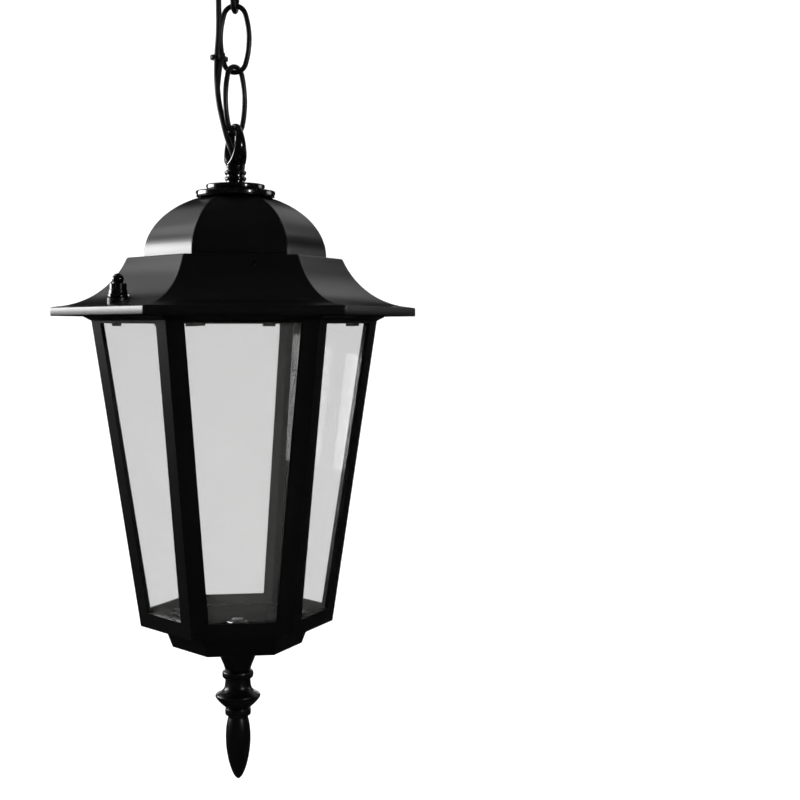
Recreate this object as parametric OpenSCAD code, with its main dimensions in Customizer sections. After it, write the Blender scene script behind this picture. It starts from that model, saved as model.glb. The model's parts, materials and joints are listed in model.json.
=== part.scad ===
// Hexagonal hanging lantern on a chain, with a ceiling canopy and a flat two-core cable.
// The origin is the middle of the ceiling plane, +Z is up and everything hangs below it.
// The lantern's corners point along +X and -X. Hexagon sizes are corner radii, from the
// middle to a corner.

/* [Ceiling bracket] */
// Width of the bracket's two crossed bars
bracket_w = 20; // [14:1:28]
// Thickness of the bracket's strip
bracket_t = 1.6; // [1:0.1:3]
// Drop of the bar's ends below the ceiling, which makes room for the stud heads
bracket_drop = 4; // [3:0.5:8]
// Distance between the middles of the two ceiling slots
ceiling_slot_spacing = 50; // [44:1:56]
// Length of each ceiling slot
ceiling_slot_l = 14; // [8:1:16]
// Width of each ceiling slot
ceiling_slot_w = 4.5; // [3.5:0.1:6]

/* [Canopy] */
// Outer diameter of the canopy
canopy_d = 100; // [96:1:150]
// Height of the canopy's side wall
canopy_side_h = 25; // [22:1:40]
// Rise of the canopy's raised middle
canopy_dome_h = 6; // [3:0.5:12]
// Radius of the foot of the raised middle
canopy_dome_r = 31; // [26:1:32]
// Sheet thickness of the canopy
canopy_wall = 1.2; // [0.8:0.1:2]
// Distance between the two canopy studs
canopy_stud_spacing = 75; // [73:1:78]

/* [Chain] */
// Diameter of the link wire
link_wire_d = 3; // [2.5:0.1:3.6]
// Inner length of a link
link_inner_l = 35; // [30:1:45]
// Outer width of a link
link_outer_w = 19.8; // [19:0.1:26]
// Radius of a link's ends, at the middle of the wire
link_end_r = 6.5; // [6:0.1:7.5]
// Running gap where one link hangs in the next
link_gap = 0.15; // [0.1:0.05:0.5]
// Running gap where the lantern's loop hangs in the last link, which crosses it askew
loop_gap = 0.7; // [0.6:0.05:1]

/* [Loops] */
// Height of a loop's eye above its seat, to the inside of its far end
loop_eye_top = 31.9; // [30:0.1:40]
// Height of a loop's eye above its seat, to the inside of its near end
loop_eye_bottom = 13.9; // [13:0.1:16]
// Inner width of a loop's eye
loop_eye_w = 13.4; // [13:0.1:18]
// Thickness of a loop's bow
loop_bow_t = 3.2; // [2.8:0.1:4]
// Radius of the two turned beads under a loop
loop_bead_r = 6.4; // [6:0.1:8]
// Radius of a loop's threaded shank
shank_r = 5; // [4.8:0.1:5.4]
// Radius of the wire way through a loop and its shank
wire_way_r = 3.4; // [3.3:0.1:3.8]
// Length of the lantern loop's shank below its seat
lantern_shank_l = 22; // [20:1:30]
// Length of the canopy loop's shank above its seat
canopy_shank_l = 14; // [12:1:18]

/* [Cap discs] */
// Radius of the upper disc
upper_disc_r = 17; // [12:0.5:22]
// Thickness of the upper disc
upper_disc_t = 3.3; // [2:0.1:5]
// Radius of the lower disc
lower_disc_r = 23; // [18:0.5:30]
// Thickness of the lower disc
lower_disc_t = 3.6; // [1.2:0.1:4]
// Height of the step between the two discs
disc_step_h = 0.5; // [0.5:0.1:3]

/* [Roof] */
// Corner radius of the roof's rim
rim_r = 106; // [100:1:140]
// Height of the rim's upright band
rim_h = 5; // [3:0.5:10]
// Width of the flat lip inside the rim
lip_w = 6.8; // [4:0.1:12]
// Fall of the lip towards the rim
lip_fall = 0.9; // [0.3:0.1:2]
// Corner radius of the ledge round the foot of the dome
ledge_r = 62.5; // [56:0.5:70]
// Height of the curved skirt, from the lip to the ledge
skirt_h = 27.8; // [20:0.1:40]
// Radius of the skirt's hollow curve
skirt_arc_r = 46.4; // [44:0.1:90]
// Corner radius of the dome's foot
dome_r = 53; // [45:0.5:55]
// Height of the dome's full arch
dome_rise = 37; // [30:0.5:50]
// Height at which the dome is cut flat for the discs
dome_h = 34.2; // [28:0.1:36]
// Wall thickness of the roof casting
roof_wall = 1.8; // [1.2:0.1:2.4]

/* [Cage] */
// Corner radius of the cage under its top ring
cage_top_r = 82.8; // [76:0.1:86]
// Corner radius of the cage's foot
cage_foot_r = 56.1; // [50:0.1:66]
// Height of the cage's sloping sides
cage_h = 177.4; // [140:0.1:220]
// Wall thickness of the cage
cage_wall = 2; // [1.5:0.1:2.5]
// Width of each post's two flanges
post_w = 10; // [7:0.5:14]
// Height of the rail under each pane
foot_rail_h = 9; // [7:0.5:14]
// Height of the top ring's outer edge
ring_h = 3.4; // [3:0.1:5]
// Overhang of the top ring past the sloping sides
ring_overhang = 4.6; // [4:0.1:6]
// Height of the slope under the top ring
ring_slope_h = 2.3; // [1:0.1:4]
// Thickness of the glass
glass_t = 3; // [2:0.5:3.5]
// Width of glass behind each flange
glass_lap = 5; // [3:0.5:6]

/* [Base and finial] */
// Corner radius of the opening in the cage's foot
foot_opening_r = 43.8; // [42:0.1:45]
// Corner radius of the pan's mouth
pan_mouth_r = 42.8; // [40:0.1:43.5]
// Corner radius of the pan's floor
pan_floor_r = 37.9; // [30:0.1:42]
// Depth of the pan below the cage
pan_depth = 12.8; // [8:0.1:20]
// Sheet thickness of the pan
pan_wall = 2; // [1.2:0.1:3]
// Diameter of the drain hole
drain_d = 3.6; // [3:0.1:6]
// Diameter of the threaded rod that holds the finial
rod_d = 7; // [6:0.5:8]
// Height of the rod's end above the pan's floor
rod_rise = 13.6; // [12:0.1:20]

/* [Roof fixings] */
// Distance of the roof studs from the middle
roof_stud_reach = 77; // [75:0.5:78]
// Diameter of the studs in the roof and in the canopy
stud_d = 4; // [3.5:0.1:4.4]
// Radial clearance of a stud or a shank in a nut
thread_gap = 0.05; // [0.02:0.01:0.1]
// Radial clearance of a stud or a screw in a plain hole
hole_gap = 0.25; // [0.15:0.05:0.4]
// Gap between pieces that only rest on each other
seat_gap = 0.1; // [0.05:0.05:0.3]

/* [Lampholder] */
// Inner radius of the threaded lamp shell
socket_r = 13.25; // [13:0.05:13.5]
// Depth of the lamp shell
socket_depth = 26; // [22:1:30]
// Outer radius of the lampholder
holder_r = 20; // [19:0.5:24]

/* [Cable] */
// Width of the flat cable
cable_w = 5.4; // [4:0.1:5.6]
// Thickness of the flat cable
cable_t = 3.3; // [2.6:0.1:3.6]

/* [Hidden] */
link_count = 14;
side_count = 6;
round_fn = 64;
black = "#1a1a1b";
gloss = "#101011";
steel = "#b4b6b8";
brass = "#b89a4c";
clear = [0.85, 0.9, 0.9, 0.35];

// ---- places along the height, from the ceiling down ----
wire_r = link_wire_d / 2;
canopy_face_z = -(canopy_side_h + canopy_dome_h);
canopy_eye_z = canopy_face_z - loop_eye_top;
link_pitch = link_inner_l - link_gap;
function link_top_z(i) = canopy_eye_z + link_gap - (i - 1) * link_pitch;
loop_seat_z = link_top_z(link_count) - link_inner_l + loop_gap - loop_eye_top;
disc_stack_h = upper_disc_t + disc_step_h + lower_disc_t;
roof_top_z = loop_seat_z - disc_stack_h;
dome_foot_z = roof_top_z - dome_h;
ledge_z = dome_foot_z - 1;
skirt_foot_z = ledge_z - skirt_h;
rim_top_z = skirt_foot_z - lip_fall;
rim_foot_z = rim_top_z - rim_h;
ring_top_z = rim_foot_z + 3;
cage_top_z = ring_top_z - ring_h - ring_slope_h;
cage_foot_z = cage_top_z - cage_h;
pan_foot_z = cage_foot_z - pan_depth;
pan_floor_z = pan_foot_z + pan_wall;

// ---- the chain's turns about the vertical, 0 = flat along X, one for each link ----
link_turn = [0, 90, 0, 90, 0, 90, 4, 86, -3, 88, 2, 77, -15, 46];
lantern_loop_turn = 17;

// ---- sizes of the hexagon's sloping sides ----
flat_of_corner = cos(30);
cage_lean = atan2((cage_top_r - cage_foot_r) * flat_of_corner, cage_h);
face_l = cage_h / cos(cage_lean);
face_spread = (cage_top_r - cage_foot_r) / 2 / face_l;
glass_out = cage_wall + 0.3;
glass_in = glass_out + glass_t;
ring_r = cage_top_r + ring_overhang;
ring_flat_out = ring_r * flat_of_corner;
ring_in_r = cage_top_r - 0.8;
ring_flat_in = ring_in_r * flat_of_corner;
clip_t = 1;
clip_w = 8;
clip_reach = 24;
clip_drop = 3;
clip_screw_r = 1.4;
clip_screw_at = (ring_flat_in + ring_flat_out) / 2;
stud_turn = [210, 30];

// ---- the lampholder's heights ----
roof_inside_z = roof_top_z - roof_wall;
washer_t = 1;
locknut_h = 5;
locknut_flats = 14;
holder_top_z = roof_inside_z - washer_t - locknut_h - 4 * seat_gap;
holder_neck_h = 6;
holder_dome_h = 14;
holder_joint_z = holder_top_z - holder_neck_h - holder_dome_h;
insulator_h = 8;
socket_seat_z = holder_joint_z - insulator_h + 4;
socket_mouth_z = socket_seat_z - socket_depth;
shell_t = 1.25;
shell_top_t = 1;
contact_hole_r = 7;
contact_t = 0.8;

// ---- helpers ----
function arc_points(centre, radii, from, to, steps) =
    [for (k = [0 : steps])
        let (a = from + (to - from) * k / steps)
        [centre[0] + radii[0] * cos(a), centre[1] + radii[1] * sin(a)]];

// A skin over rings of points. Every ring has as many points as the first one.
module ring_skin(rings, closed) {
    n = len(rings);
    m = len(rings[0]);
    last = closed ? n - 1 : n - 2;
    points = [for (ring = rings) each ring];
    sides = [for (i = [0 : last], k = [0 : m - 1])
        let (a = i * m + k, b = i * m + (k + 1) % m)
        let (c = (i + 1) % n * m + k, d = (i + 1) % n * m + (k + 1) % m)
        each [[a, b, d], [a, d, c]]];
    first_cap = closed ? [] : [[for (k = [m - 1 : -1 : 0]) k]];
    last_cap = closed ? [] : [[for (k = [0 : m - 1]) (n - 1) * m + k]];
    polyhedron(points = points, faces = concat(sides, first_cap, last_cap), convexity = 8);
}

module tube(outer_r, inner_r, h) {
    difference() {
        cylinder(r = outer_r, h = h, $fn = round_fn);
        translate([0, 0, -1]) cylinder(r = inner_r, h = h + 2, $fn = round_fn);
    }
}

module hex_nut(flats, h, bore_r) {
    difference() {
        cylinder(r = flats / 2 / flat_of_corner, h = h, $fn = 6);
        translate([0, 0, -1]) cylinder(r = bore_r, h = h + 2, $fn = round_fn);
    }
}

// A solid turned from hexagon profile points, corners on +X and -X
module hex_turned(points) {
    rotate_extrude($fn = side_count) polygon(points);
}

module turned(points) {
    rotate_extrude($fn = round_fn) polygon(points);
}

// Children drawn on a sloping side: x along its foot, y up the slope, z outwards
module on_side(i) {
    rotate([0, 0, 60 * (i - 1)])
        translate([0, -cage_foot_r * flat_of_corner, cage_foot_z])
        rotate([90 + cage_lean, 0, 0])
        children();
}

function side_half_w(up) = cage_foot_r / 2 + face_spread * up;

module at_stud(turn) {
    rotate([0, 0, turn]) translate([roof_stud_reach, 0, 0]) children();
}

// ---- ceiling bracket and canopy ----
bar_half_l = canopy_stud_spacing / 2 + 6.5;
bar_flush_l = canopy_stud_spacing / 2 - 7.5;
bar_step_l = 3.5;
slot_bar_half_l = ceiling_slot_spacing / 2 + ceiling_slot_l / 2 + 4;

module ceiling_bracket() {
    function half(s) = [
        [s * bar_flush_l, 0],
        [s * (bar_flush_l + bar_step_l), -bracket_drop],
        [s * bar_half_l, -bracket_drop],
        [s * bar_half_l, -bracket_drop - bracket_t],
        [s * (bar_flush_l + bar_step_l - 1), -bracket_drop - bracket_t],
        [s * (bar_flush_l - 1), -bracket_t],
    ];
    left = half(-1);
    color(steel) difference() {
        union() {
            rotate([90, 0, 0])
                translate([0, 0, -bracket_w / 2])
                linear_extrude(bracket_w)
                polygon(concat(half(1), [for (k = [5 : -1 : 0]) left[k]]));
            translate([-bracket_w / 2, -slot_bar_half_l, -bracket_t])
                cube([bracket_w, 2 * slot_bar_half_l, bracket_t]);
        }
        for (s = [-1, 1]) {
            translate([s * canopy_stud_spacing / 2, 0, -bracket_drop - bracket_t - 1])
                cylinder(r = stud_d / 2 + thread_gap, h = bracket_t + 2, $fn = round_fn);
            translate([0, s * ceiling_slot_spacing / 2, -bracket_t - 1]) ceiling_slot();
            for (x = [clamp_x, block_x + block_l / 2])
                translate([x, s * clamp_screw_y, -bracket_t - 1])
                cylinder(r = small_screw_r + thread_gap, h = bracket_t + 2, $fn = round_fn);
        }
    }
}

module ceiling_slot() {
    r = ceiling_slot_w / 2;
    run = ceiling_slot_l / 2 - r;
    for (s = [-1, 1])
        translate([0, s * run, 0]) cylinder(r = r, h = bracket_t + 2, $fn = round_fn);
    translate([-r, -run, 0]) cube([2 * r, 2 * run, bracket_t + 2]);
}

stud_head_h = 2.2;
stud_head_r = 3.6;
canopy_nut_h = 10;
canopy_stud_end_z = -canopy_side_h - 6.5;

module canopy_studs() {
    color(steel) for (s = [-1, 1]) translate([s * canopy_stud_spacing / 2, 0, 0]) {
        translate([0, 0, canopy_stud_end_z])
            cylinder(r = stud_d / 2, h = -bracket_drop - canopy_stud_end_z, $fn = round_fn);
        translate([0, 0, -bracket_drop])
            cylinder(r = stud_head_r, h = stud_head_h, $fn = round_fn);
    }
}

// The canopy's section at a distance inside its outer skin, from the middle to the rim
function canopy_skin(inset) = let (
    r = canopy_d / 2 - inset,
    low = -canopy_side_h + inset,
    dome_low = canopy_face_z + inset,
    dome_foot = canopy_dome_r - inset,
    dome_top = canopy_dome_r - 6 - inset / 2,
    edge = 4 - inset
) concat(
    [[shank_r + hole_gap, dome_low], [dome_top - 2, dome_low], [dome_top, dome_low + 0.8]],
    [[dome_foot - 0.8, low - 0.8], [dome_foot + 0.5, low]],
    arc_points([r - edge, low + edge], [edge, edge], -90, 0, 6),
    [[r, 0]]
);

module canopy() {
    inner = canopy_skin(canopy_wall);
    color(black) difference() {
        turned(concat(canopy_skin(0), [for (k = [len(inner) - 1 : -1 : 0]) inner[k]]));
        for (s = [-1, 1])
            translate([s * canopy_stud_spacing / 2, 0, -canopy_side_h - 1])
            cylinder(r = stud_d / 2 + hole_gap, h = 4, $fn = round_fn);
    }
}

// A ball cap nut standing on z = 0, bored from below
module cap_nut(foot_r, neck_r, ball_r, foot_h, neck_h, h, bore_depth) {
    ball_z = h - ball_r;
    difference() {
        turned(concat(
            [[0, 0], [foot_r, 0]],
            arc_points([foot_r - 0.8, foot_h * 0.35], [0.8, 0.8], 0, 60, 4),
            [[neck_r, foot_h], [neck_r, foot_h + neck_h]],
            [[ball_r * 0.82, foot_h + neck_h + 0.1]],
            arc_points([0, ball_z], [ball_r, ball_r], -24, 90, 12)
        ));
        translate([0, 0, -1])
            cylinder(r = stud_d / 2 + thread_gap, h = bore_depth + 1, $fn = round_fn);
    }
}

module canopy_cap_nuts() {
    color(gloss) for (s = [-1, 1])
        translate([s * canopy_stud_spacing / 2, 0, -canopy_side_h])
        rotate([180, 0, 0])
        cap_nut(4.6, 3.6, 3, 3.4, 2, canopy_nut_h, 7.5);
}

// ---- loops ----
bow_half_t = loop_bow_t / 2;
root_half_t = 2.4;
bow_half_w = 2.2;
root_half_w = 5.6;
root_taper = 1.6;
loop_mid_top = loop_eye_top + bow_half_t;
loop_mid_bottom = loop_eye_bottom - root_half_t;
loop_mid_h = (loop_mid_top + loop_mid_bottom) / 2;
loop_half_h = (loop_mid_top - loop_mid_bottom) / 2;
loop_half_w = loop_eye_w / 2 + 1.8;
loop_rings = 32;
bead_h = 2.6;
low_bead_at = 1.9;
high_bead_at = 5.4;
loop_neck_h = 10.8;
loop_sides = 12;

// One ring of the bow at angle a: 90 is the far end, -90 is the near end, which is thicker
function loop_ring(a) = let (
    low = (1 - sin(a)) / 2,
    half_t = bow_half_t + (root_half_t - bow_half_t) * low,
    half_w = bow_half_w + (root_half_w - bow_half_w) * pow(low, root_taper),
    y = loop_half_w * cos(a),
    z = loop_mid_h + loop_half_h * sin(a),
    out = [0, cos(a) / loop_half_w, sin(a) / loop_half_h],
    unit = out / norm(out)
) [for (k = [0 : loop_sides - 1])
    let (b = 360 * k / loop_sides)
    [half_w * sin(b), y + unit[1] * half_t * cos(b), z + unit[2] * half_t * cos(b)]];

// A loop standing on z = 0, its eye open along X, with its shank below
module hanging_loop(shank_l) {
    neck_r = loop_bead_r - 1.1;
    difference() {
        union() {
            ring_skin([for (i = [0 : loop_rings - 1]) loop_ring(360 * i / loop_rings)], true);
            turned(concat(
                [[0, 0], [neck_r, 0], [neck_r, low_bead_at]],
                arc_points([neck_r, low_bead_at + bead_h / 2], [1.1, bead_h / 2], -70, 70, 6),
                [[neck_r, low_bead_at + bead_h], [neck_r, high_bead_at]],
                arc_points([neck_r, high_bead_at + bead_h / 2], [1.1, bead_h / 2], -70, 70, 6),
                [[neck_r, high_bead_at + bead_h], [root_half_w, loop_neck_h], [0, loop_neck_h]]
            ));
            translate([0, 0, -shank_l]) cylinder(r = shank_r, h = shank_l + 1, $fn = round_fn);
        }
        translate([0, 0, -shank_l - 1])
            cylinder(r = wire_way_r, h = shank_l + loop_eye_bottom + 2, $fn = round_fn);
        translate([0, 0, loop_eye_bottom - 3])
            cylinder(r1 = wire_way_r, r2 = wire_way_r + 2, h = 3.6, $fn = round_fn);
    }
}

module canopy_loop() {
    color(gloss) translate([0, 0, canopy_face_z]) rotate([180, 0, 0])
        hanging_loop(canopy_shank_l);
}

module canopy_loop_washer() {
    color(steel) translate([0, 0, canopy_face_z + canopy_wall + seat_gap])
        tube(9, shank_r + hole_gap, washer_t);
}

module canopy_loop_locknut() {
    color(steel) translate([0, 0, canopy_face_z + canopy_wall + washer_t + 2 * seat_gap])
        hex_nut(locknut_flats, 4, shank_r + thread_gap);
}

module lantern_loop() {
    color(gloss) translate([0, 0, loop_seat_z]) rotate([0, 0, lantern_loop_turn])
        hanging_loop(lantern_shank_l);
}

// ---- terminal block and cable clamp, under the bracket ----
block_x = 12;
block_l = 16;
block_w = 18;
block_h = 9;
clamp_x = 9;
clamp_l = 4;
clamp_h = 9.5;
clamp_screw_y = 6.6;
small_screw_r = 1.5;
cable_entry_z = -6.5;

module small_screw(length) {
    translate([0, 0, -length]) cylinder(r = small_screw_r, h = length, $fn = 32);
    translate([0, 0, -length - 1.6]) cylinder(r = 2.6, h = 1.6, $fn = 32);
}

module terminal_block() {
    color("ivory") difference() {
        translate([block_x, -block_w / 2, -bracket_t - seat_gap - block_h])
            cube([block_l, block_w, block_h]);
        for (y = [-4, 0, 4])
            translate([block_x + 4, y, -bracket_t - block_h - 1])
            cylinder(r = 1.5, h = 3.6, $fn = 32);
        for (s = [-1, 1])
            translate([block_x + block_l / 2, s * clamp_screw_y, -bracket_t - block_h - 1])
            cylinder(r = small_screw_r + hole_gap, h = block_h + 2, $fn = 32);
    }
}

module terminal_screws() {
    color(brass) for (y = [-4, 0, 4])
        translate([block_x + 4, y, -bracket_t - seat_gap - block_h + 0.6])
        cylinder(r = 1.45, h = 1.9, $fn = 32);
}

module cable_clamp() {
    color("ivory") difference() {
        translate([clamp_x - clamp_l / 2, -block_w / 2, -bracket_t - seat_gap - clamp_h])
            cube([clamp_l, block_w, clamp_h]);
        for (s = [-1, 1]) {
            translate([clamp_x, s * clamp_screw_y, -bracket_t - clamp_h - 1])
                cylinder(r = small_screw_r + hole_gap, h = clamp_h + 2, $fn = 32);
            translate([clamp_x - clamp_l, s * (cable_w - cable_t) / 2, cable_entry_z])
                rotate([0, 90, 0])
                cylinder(r = cable_t / 2 + hole_gap, h = 2 * clamp_l, $fn = 32);
        }
        translate([clamp_x - clamp_l, -cable_w / 2 + cable_t / 2,
                cable_entry_z - cable_t / 2 - hole_gap])
            cube([2 * clamp_l, cable_w - cable_t, cable_t + 2 * hole_gap]);
    }
}

module clamp_screws() {
    color(steel) for (s = [-1, 1]) {
        translate([clamp_x, s * clamp_screw_y, 0]) small_screw(bracket_t + clamp_h + 2 * seat_gap);
        translate([block_x + block_l / 2, s * clamp_screw_y, 0])
            small_screw(bracket_t + block_h + 2 * seat_gap);
    }
}

// ---- chain ----
link_half_l = link_inner_l / 2 + wire_r;
link_half_w = link_outer_w / 2 - wire_r;
link_end_at = link_half_l - link_end_r;
link_side_r = (pow(link_half_w, 2) + pow(link_end_at, 2) - pow(link_end_r, 2))
    / (2 * (link_half_w - link_end_r));
link_side_at = link_side_r - link_half_w;
link_join = atan2(link_end_at, link_side_at);
link_side_rings = 6;
link_end_rings = 8;
link_sides = 10;

// Half the rings round a link, as [middle, outward direction]: a side, then an end
function link_half_rings(flip) = [
    for (k = [0 : link_side_rings - 1])
        let (a = -link_join + 2 * link_join * k / link_side_rings)
        [flip * [link_side_r * cos(a) - link_side_at, link_side_r * sin(a)],
            flip * [cos(a), sin(a)]],
    for (k = [0 : link_end_rings - 1])
        let (a = link_join + (180 - 2 * link_join) * k / link_end_rings)
        [flip * [link_end_r * cos(a), link_end_at + link_end_r * sin(a)],
            flip * [cos(a), sin(a)]]
];

module chain_link(i) {
    middles = concat(link_half_rings(1), link_half_rings(-1));
    rings = [for (m = middles) [for (k = [0 : link_sides - 1])
        let (a = 360 * k / link_sides, out = wire_r * cos(a))
        [m[0][0] + m[1][0] * out, -wire_r * sin(a), m[0][1] + m[1][1] * out]]];
    color(black)
        translate([0, 0, link_top_z(i) - link_inner_l / 2])
        rotate([0, 0, link_turn[i - 1]])
        ring_skin(rings, true);
}

// ---- cable ----
// The middle of the flat cable, from the terminal block to the lampholder
cable_route = [
    [11.9, 0, -6.5], [9.5, 0, -6.5], [7, 0, -6.5], [4.5, 0, -7], [2, 0, -9], [0.5, 0, -12],
    [0, 0, -16], [0, 0, -26], [0, 0, -38], [0, 0, -43], [-1, 0, -48], [-2.5, -1, -53],
    [-5, -2.5, -59], [-7.5, -5, -68], [-9.5, -5.5, -82], [-10.5, -5.5, -100],
    [-11, -5.5, -145], [-10, -5.5, -195], [-11, -5.5, -245], [-10, -5.5, -295],
    [-11, -5.5, -345], [-10, -5.5, -395], [-10, -5.5, -440], [-9.5, -5.5, -475],
    [-9.5, -5, -495], [-10.5, -3.5, -510], [-10.5, -2, -522], [-9.5, -1, -534],
    [-7.5, -0.5, -544], [-5, 0, -554], [-3, 0, -560], [-1, 0, -566], [0, 0, -571],
    [0, 0, -578], [0, 0, -590], [0, 0, -602], [0, 0, -611.5]
];
cable_sides = 12;
cable_steps = 2;

// A point on the smooth curve through the route, u counted in route points
function route_point(u) = let (
    last = len(cable_route) - 1,
    i = min(floor(u), last - 1),
    t = u - i,
    a = cable_route[max(i - 1, 0)],
    b = cable_route[i],
    c = cable_route[i + 1],
    d = cable_route[min(i + 2, last)]
) (2 * b + (c - a) * t + (2 * a - 5 * b + 4 * c - d) * t * t
    + (3 * b - 3 * c + d - a) * t * t * t) / 2;

function cable_ring(u) = let (
    last = len(cable_route) - 1,
    ahead = route_point(min(u + 0.05, last)) - route_point(max(u - 0.05, 0)),
    along = ahead / norm(ahead),
    flat = [0, 1, 0] - along[1] * along,
    wide = flat / norm(flat),
    thin = cross(along, wide),
    here = route_point(u)
) [for (k = [0 : cable_sides - 1])
    let (
        a = 360 * (k + 0.5) / cable_sides,
        shift = sign(sin(a)) * (cable_w - cable_t) / 2
    )
    here + thin * cable_t / 2 * cos(a) + wide * (cable_t / 2 * sin(a) + shift)];

module lamp_cable() {
    steps = (len(cable_route) - 1) * cable_steps;
    color("#161617") ring_skin([for (k = [0 : steps]) cable_ring(k / cable_steps)], false);
}

// The tie holds the cable to the lower left shoulder of the last link but one
tie_link = link_count - 1;
tie_z = -511;
tie_h = 2.4;
tie_t = 0.9;
tie_tail_l = 18;
tie_tail_t = 1.1;
tie_down = link_top_z(tie_link) - link_inner_l / 2 - tie_z - tie_h / 2;
tie_reach = link_side_r * cos(asin(tie_down / link_side_r)) - link_side_at;
tie_on_link = -tie_reach * [cos(link_turn[tie_link - 1]), sin(link_turn[tie_link - 1])];
tie_on_cable = [-10.5, -3.4];

module tie_outline(grow) {
    hull() {
        translate(tie_on_link) circle(r = wire_r + 0.6 + grow, $fn = 32);
        translate(tie_on_cable) circle(r = cable_w / 2 + 0.3 + grow, $fn = 32);
    }
}

module cable_tie() {
    color(black) {
        translate([0, 0, tie_z]) linear_extrude(tie_h) difference() {
            tie_outline(tie_t);
            tie_outline(0);
        }
        translate([tie_on_cable[0] + 0.9, tie_on_cable[1] - 6.2, tie_z - 0.6])
            cube([3.6, 3.2, tie_h + 1.2]);
        translate([tie_on_cable[0] + 1.5, tie_on_cable[1] - 5, tie_z - tie_tail_l])
            cube([tie_h, tie_tail_t, tie_tail_l]);
    }
}

// ---- discs and roof ----
module round_plate(r, t, bore_r) {
    edge = min(0.8, t * 0.4);
    turned(concat(
        [[bore_r, 0]],
        arc_points([r - edge, edge], [edge, edge], -90, 0, 4),
        arc_points([r - edge, t - edge], [edge, edge], 0, 90, 4),
        [[bore_r, t]]
    ));
}

module upper_cap_disc() {
    color(gloss) translate([0, 0, loop_seat_z - upper_disc_t])
        round_plate(upper_disc_r, upper_disc_t, shank_r + hole_gap);
}

module lower_cap_disc() {
    color(gloss) translate([0, 0, roof_top_z]) {
        round_plate(lower_disc_r, lower_disc_t, shank_r + hole_gap);
        translate([0, 0, lower_disc_t])
            tube(upper_disc_r - 2, shank_r + hole_gap, disc_step_h);
    }
}

skirt_top = [ledge_r, ledge_z];
skirt_foot = [rim_r - lip_w, skirt_foot_z];
skirt_chord = skirt_foot - skirt_top;
skirt_side = [-skirt_chord[1], skirt_chord[0]] / norm(skirt_chord);
skirt_centre = (skirt_top + skirt_foot) / 2
    + skirt_side * sqrt(pow(skirt_arc_r, 2) - pow(norm(skirt_chord) / 2, 2));

// Depth of the groove round the dome's foot
groove_h = 0.8;

// The roof's section at a distance inside its outer skin, from the middle to the rim
function roof_skin(inset) = let (
    corner_inset = inset / flat_of_corner,
    wide = dome_r - corner_inset,
    high = dome_rise - inset,
    flat_h = dome_h - inset,
    flat_at = asin(min(1, flat_h / high)),
    arc_r = skirt_arc_r + inset,
    ledge = ledge_z - inset,
    lip = skirt_foot_z - inset,
    from = 180 + asin((skirt_centre[1] - ledge) / arc_r),
    to = 180 + asin((skirt_centre[1] - lip) / arc_r),
    edge = 0.8,
    rim_in = rim_r - corner_inset
) concat(
    [[0, roof_top_z - inset]],
    arc_points([0, dome_foot_z], [wide, high], flat_at, 0, 14),
    inset > 0 ? [[wide, ledge]] : [
        [dome_r, ledge_z - groove_h],
        [dome_r + groove_h, ledge_z - groove_h],
        [dome_r + 2 * groove_h, ledge_z]
    ],
    arc_points(skirt_centre, [arc_r, arc_r], from, to, 14),
    inset > 0 ? [[rim_in, rim_top_z - inset], [rim_in, rim_foot_z]] : [
        [rim_r - edge, rim_top_z],
        [rim_r, rim_top_z - edge],
        [rim_r, rim_foot_z + edge],
        [rim_r - edge, rim_foot_z]
    ]
);

nut_foot_r = 5.5;
nut_seat_z = skirt_foot_z + 3.7;
nut_seat_r = nut_foot_r + 0.7;
boss_r = 4.6;
pad_h = 3.4;

module roof() {
    inner = roof_skin(roof_wall);
    skin = concat(roof_skin(0), [for (k = [len(inner) - 1 : -1 : 0]) inner[k]]);
    color(black) difference() {
        union() {
            hex_turned(skin);
            for (turn = stud_turn) at_stud(turn)
                translate([0, 0, ring_top_z + seat_gap])
                cylinder(r = boss_r, h = nut_seat_z - ring_top_z - seat_gap - 1, $fn = round_fn);
            for (turn = stud_turn) at_stud(turn)
                translate([0, 0, nut_seat_z - pad_h])
                cylinder(r = nut_seat_r, h = pad_h, $fn = round_fn);
            intersection() {
                hex_turned(concat(roof_skin(0), [[0, rim_foot_z]]));
                for (turn = stud_turn) at_stud(turn)
                    translate([0, 0, nut_seat_z - pad_h])
                    cylinder(r = nut_seat_r + 1.2, h = pad_h + 6, $fn = round_fn);
            }
        }
        for (turn = stud_turn) at_stud(turn) translate([0, 0, nut_seat_z])
            cylinder(r = nut_seat_r, h = 12, $fn = round_fn);
        translate([0, 0, roof_top_z - roof_wall - 1])
            cylinder(r = shank_r + hole_gap, h = roof_wall + 2, $fn = round_fn);
        for (turn = stud_turn) at_stud(turn)
            translate([0, 0, ring_top_z - 1])
            cylinder(r = stud_d / 2 + hole_gap, h = nut_seat_z - ring_top_z + 2, $fn = round_fn);
    }
}

module roof_washer() {
    color(steel) translate([0, 0, roof_inside_z - seat_gap - washer_t])
        tube(10, shank_r + hole_gap, washer_t);
}

module roof_locknut() {
    color(steel) translate([0, 0, roof_inside_z - 2 * seat_gap - washer_t - locknut_h])
        hex_nut(locknut_flats, locknut_h, shank_r + thread_gap);
}

module roof_cap_nut(turn) {
    color(gloss) at_stud(turn) translate([0, 0, nut_seat_z + seat_gap])
        cap_nut(nut_foot_r, 4.7, 3.25, 4.7, 3.5, 13.5, 10.5);
}

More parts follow.
